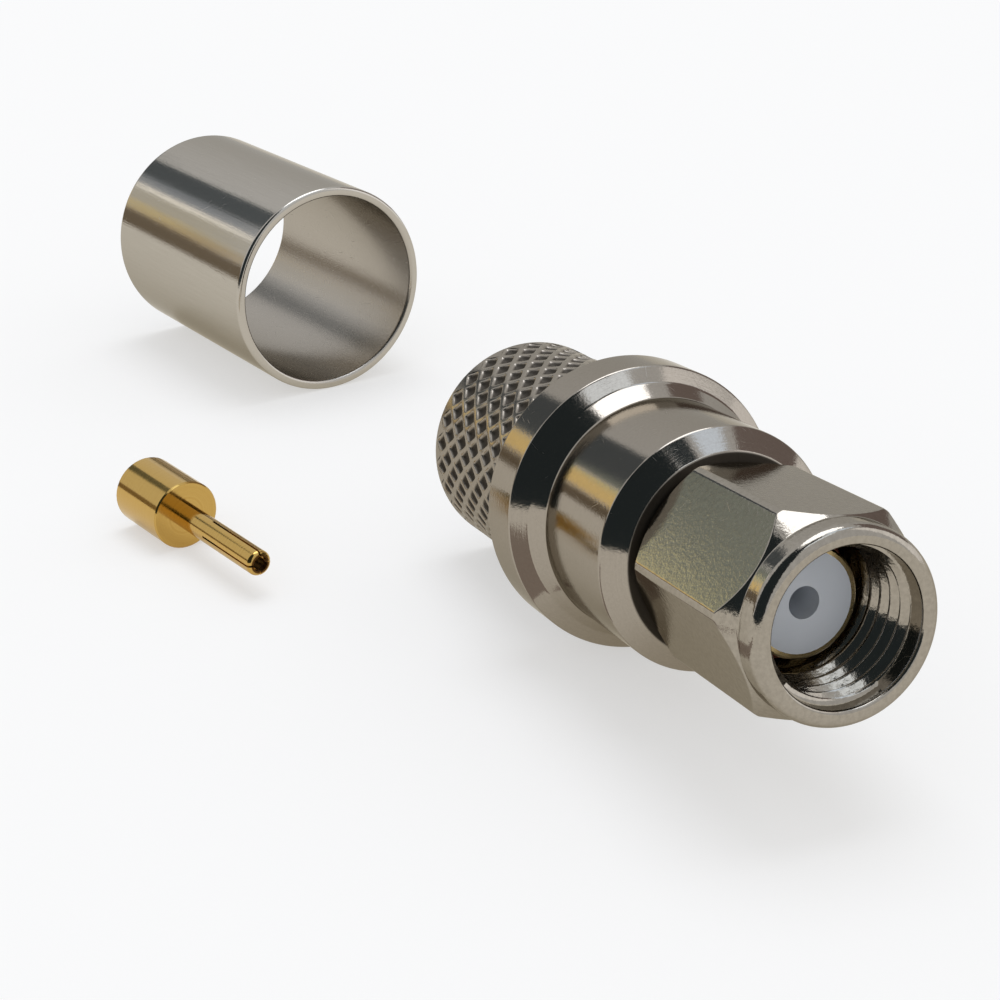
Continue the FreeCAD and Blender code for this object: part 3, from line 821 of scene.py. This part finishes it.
# Softbox overhead
SOFTBOX_SPREAD = 38
SOFTBOX_STRENGTH = 0.85
SOFTBOX_COLOUR = (0.96, 0.99, 1.05)
SOFTBOX_AZIMUTH = 30
SOFTBOX_ELEVATION = 78
# The photo's viewpoint
CAMERA_PLACE = Vector((-30.039, -91.942, 42.84)) * MM
CAMERA_DOWN = 23.515
CAMERA_TURN = 21.841
CAMERA_LENS = 73.35
CAMERA_SENSOR = 36

# The studio that the bright metal mirrors: each card's name, its distance in metres, its colour,
# and its corners as (azimuth, elevation)
CARD_CENTRE = Vector((0, -0.005, 0.008))
CARD_STEPS = 8
CARD_RINGS = (0.25, 0.5, 0.75, 1.0)
STUDIO_CARDS = [
    ("black_side_wall", 1.5, (0.030, 0.039, 0.043),
     [(-163, -3), (-163, 62), (-158, 73), (-52, 73), (-64, 40), (-68, -3)]),
    ("black_top_flag", 1.5, (0.04, 0.053, 0.06),
     [(157, 66.5), (157, 74), (203, 76), (203, 66.5)]),
    ("white_window_behind", 1.5, (1.40, 1.52, 1.66),
     [(141, 57), (141, 66), (194, 65.5), (194, 57)]),
    ("white_window_right", 1.5, (1.19, 1.36, 1.60),
     [(98, 55), (112, 76), (150, 76), (140, 66), (128, 61)]),
    ("bright_right_wall", 1.5, (1.25, 1.23, 1.22),
     [(76, -3), (80, 8), (90, 9), (96, 26), (103, 40), (109, 50), (128, 50), (128, -3)]),
    ("brown_right_flag", 1.5, (0.27, 0.22, 0.205),
     [(57, 27), (55, 46), (75, 49), (108, 51), (101, 40), (94, 26), (88, 10), (65, 9), (64, 24)]),
    ("dark_far_flag", 1.5, (0.122, 0.138, 0.152),
     [(-20.5, 9.5), (-21.5, 19.5), (-28.5, 22.5), (-31, 29), (-28, 36), (-16.8, 36),
      (-16.8, 27.2), (-6.5, 26), (-4.5, 9.5)]),
    ("pale_yellow_far_card", 1.49, (0.92, 0.89, 0.57),
     [(-31, 9.3), (-31, 13.4), (-25, 12.6), (-21.5, 9.3)]),
    ("green_far_card", 1.5, (0.35, 0.385, 0.345),
     [(-31, 13.4), (-31, 17.5), (-20.5, 17.5), (-20.5, 10.3), (-25, 12.6)]),
    ("gold_far_strip", 1.5, (1.27, 0.95, 0.42),
     [(-34, 3.5), (-34, 9.5), (-18.5, 9.5), (-19, 3.5)]),
    ("grey_far_strip", 1.48, (0.38, 0.41, 0.46),
     [(-35.3, 23.0), (-32.6, 25.4), (-29.0, 21.6), (-31.4, 19.6)]),
    ("pale_grey_far_strip", 1.48, (0.30, 0.33, 0.37),
     [(-32.6, 25.4), (-30.6, 27.2), (-27.2, 23.6), (-29.0, 21.6)]),
    ("bright_far_strip", 1.48, (1.30, 1.25, 1.14),
     [(-37.5, 20.5), (-35.3, 23.0), (-31.4, 19.6), (-33.5, 17.5)]),
    ("pale_far_window", 1.48, (0.66, 0.62, 0.52),
     [(-42.6, 11.7), (-39.5, 17.8), (-37.5, 20.5), (-33.5, 17.5), (-35.2, 15.0), (-37.7, 10.2)]),
    ("amber_far_strip", 1.48, (0.60, 0.47, 0.28),
     [(-44.2, 5.3), (-43.5, 8.7), (-42.6, 11.7), (-37.7, 10.2), (-38.6, 7.3), (-39.3, 4.4)]),
    ("gold_rear_strip", 1.45, (0.86, 0.70, 0.36),
     [(-41.0, 8.0), (-39.6, 12.9), (-37.0, 11.7), (-38.6, 7.3)]),
    ("low_dark_strip", 0.22, (0.22, 0.175, 0.125),
     [(-64, -2.5), (-64, 6), (-36, 6), (-30, 3.2), (-14, 3.2), (-14, -2.5)]),
]
# A brown card that lies beside the connector as a painted shadow that only its reflections see: its
# corners and its height in millimetres
FLOOR_SHADOW_CARD = [(-0.5, -18.5), (-12.5, -24.0), (-32.0, -35.5), (-32.0, -41.0), (-12.5, -30.0),
              (-1.8, -24.8)]
FLOOR_SHADOW_HEIGHT = 0.3
FLOOR_SHADOW_COLOUR = (0.36, 0.30, 0.26)


def toward(azimuth, elevation):
    """A direction by its degrees round from +Y towards +X and its degrees above the floor."""
    a, e = math.radians(azimuth), math.radians(elevation)
    return Vector((math.sin(a) * math.cos(e), math.cos(a) * math.cos(e), math.sin(e)))


def make_floor():
    disc = bmesh.new()
    bmesh.ops.create_circle(disc, cap_ends=True, segments=96, radius=FLOOR_RADIUS)
    mesh = bpy.data.meshes.new("pale_floor")
    disc.to_mesh(mesh)
    disc.free()
    floor = bpy.data.objects.new("pale_floor", mesh)
    bpy.context.scene.collection.objects.link(floor)
    material, work, shader = new_material("pale_floor_paper")
    rays = work.add("ShaderNodeLightPath").outputs
    mirrored = work.math("MAXIMUM", rays["Is Glossy Ray"], rays["Is Transmission Ray"])
    seen = work.math("MAXIMUM", rays["Is Camera Ray"], mirrored)
    work.feed(shader.inputs["Base Color"], work.mix(seen, (*PAPER, 1), (*PAPER_SEEN, 1)))
    glow = work.mix(mirrored, (*GLOW_SEEN, 1), (*GLOW_MIRRORED, 1))
    work.feed(shader.inputs["Emission Color"], work.mix(seen, (*BLACK, 1), glow))
    shader.inputs["Emission Strength"].default_value = 1.0
    shader.inputs["Roughness"].default_value = 0.9
    shader.inputs["Specular IOR Level"].default_value = 0.0
    mesh.materials.append(material)


def make_lights():
    world = bpy.data.worlds.new("pale_room")
    bpy.context.scene.world = world
    world.use_nodes = True
    world.node_tree.nodes["Background"].inputs["Color"].default_value = (*ROOM, 1)
    light = bpy.data.lights.new("overhead_softbox", "SUN")
    light.angle = math.radians(SOFTBOX_SPREAD)
    light.energy = SOFTBOX_STRENGTH
    light.color = SOFTBOX_COLOUR
    lamp = bpy.data.objects.new("overhead_softbox", light)
    upward = toward(SOFTBOX_AZIMUTH, SOFTBOX_ELEVATION)
    lamp.rotation_euler = upward.to_track_quat("Z", "Y").to_euler()
    bpy.context.scene.collection.objects.link(lamp)


def card_from(name, points, faces, colour):
    """A glowing card that only the metal's reflections see."""
    mesh = bpy.data.meshes.new(name)
    mesh.from_pydata(points, [], faces)
    card = bpy.data.objects.new(name, mesh)
    bpy.context.scene.collection.objects.link(card)
    material, _, shader = new_material(name)
    shader.inputs["Base Color"].default_value = (*BLACK, 1)
    shader.inputs["Roughness"].default_value = 1.0
    shader.inputs["Specular IOR Level"].default_value = 0.0
    shader.inputs["Emission Color"].default_value = (*colour, 1)
    shader.inputs["Emission Strength"].default_value = 1.0
    mesh.materials.append(material)
    card.visible_camera = False
    card.visible_diffuse = False
    card.visible_shadow = False


def make_card(name, distance, colour, corners):
    outline = []
    for index, corner in enumerate(corners):
        following = corners[(index + 1) % len(corners)]
        for step in range(CARD_STEPS):
            share = step / CARD_STEPS
            outline.append([low + (high - low) * share for low, high in zip(corner, following)])
    middle = [sum(values) / len(outline) for values in zip(*outline)]
    places = [middle]
    for share in CARD_RINGS:
        places += [[m + (value - m) * share for m, value in zip(middle, place)] for place in outline]
    points = [CARD_CENTRE + toward(*place) * distance for place in places]
    count = len(outline)
    faces = [(0, 1 + k, 1 + (k + 1) % count) for k in range(count)]
    for ring in range(len(CARD_RINGS) - 1):
        low, high = 1 + ring * count, 1 + (ring + 1) * count
        faces += [(low + k, high + k, high + (k + 1) % count, low + (k + 1) % count)
                  for k in range(count)]
    card_from(name, points, faces, colour)


def make_studio():
    for card in STUDIO_CARDS:
        make_card(*card)
    # A painted shadow of the connector on the floor, seen only in the metal's reflections
    corners = [Vector((x, y, FLOOR_SHADOW_HEIGHT)) * MM for x, y in FLOOR_SHADOW_CARD]
    card_from("brown_floor_flag", corners, [range(len(corners))], FLOOR_SHADOW_COLOUR)


def make_camera():
    data = bpy.data.cameras.new("camera")
    data.sensor_width = CAMERA_SENSOR
    data.lens = CAMERA_LENS
    data.clip_start = 0.005
    data.clip_end = 20
    camera = bpy.data.objects.new("camera", data)
    camera.location = CAMERA_PLACE
    camera.rotation_euler = (math.radians(90 - CAMERA_DOWN), 0, math.radians(-CAMERA_TURN))
    bpy.context.scene.collection.objects.link(camera)
    bpy.context.scene.camera = camera


make_threaded_nut()
make_knurled_body()
make_drawn_ferrule()
dress_the_kit()
make_floor()
make_lights()
make_studio()
make_camera()
bpy.context.scene.view_settings.view_transform = "Standard"
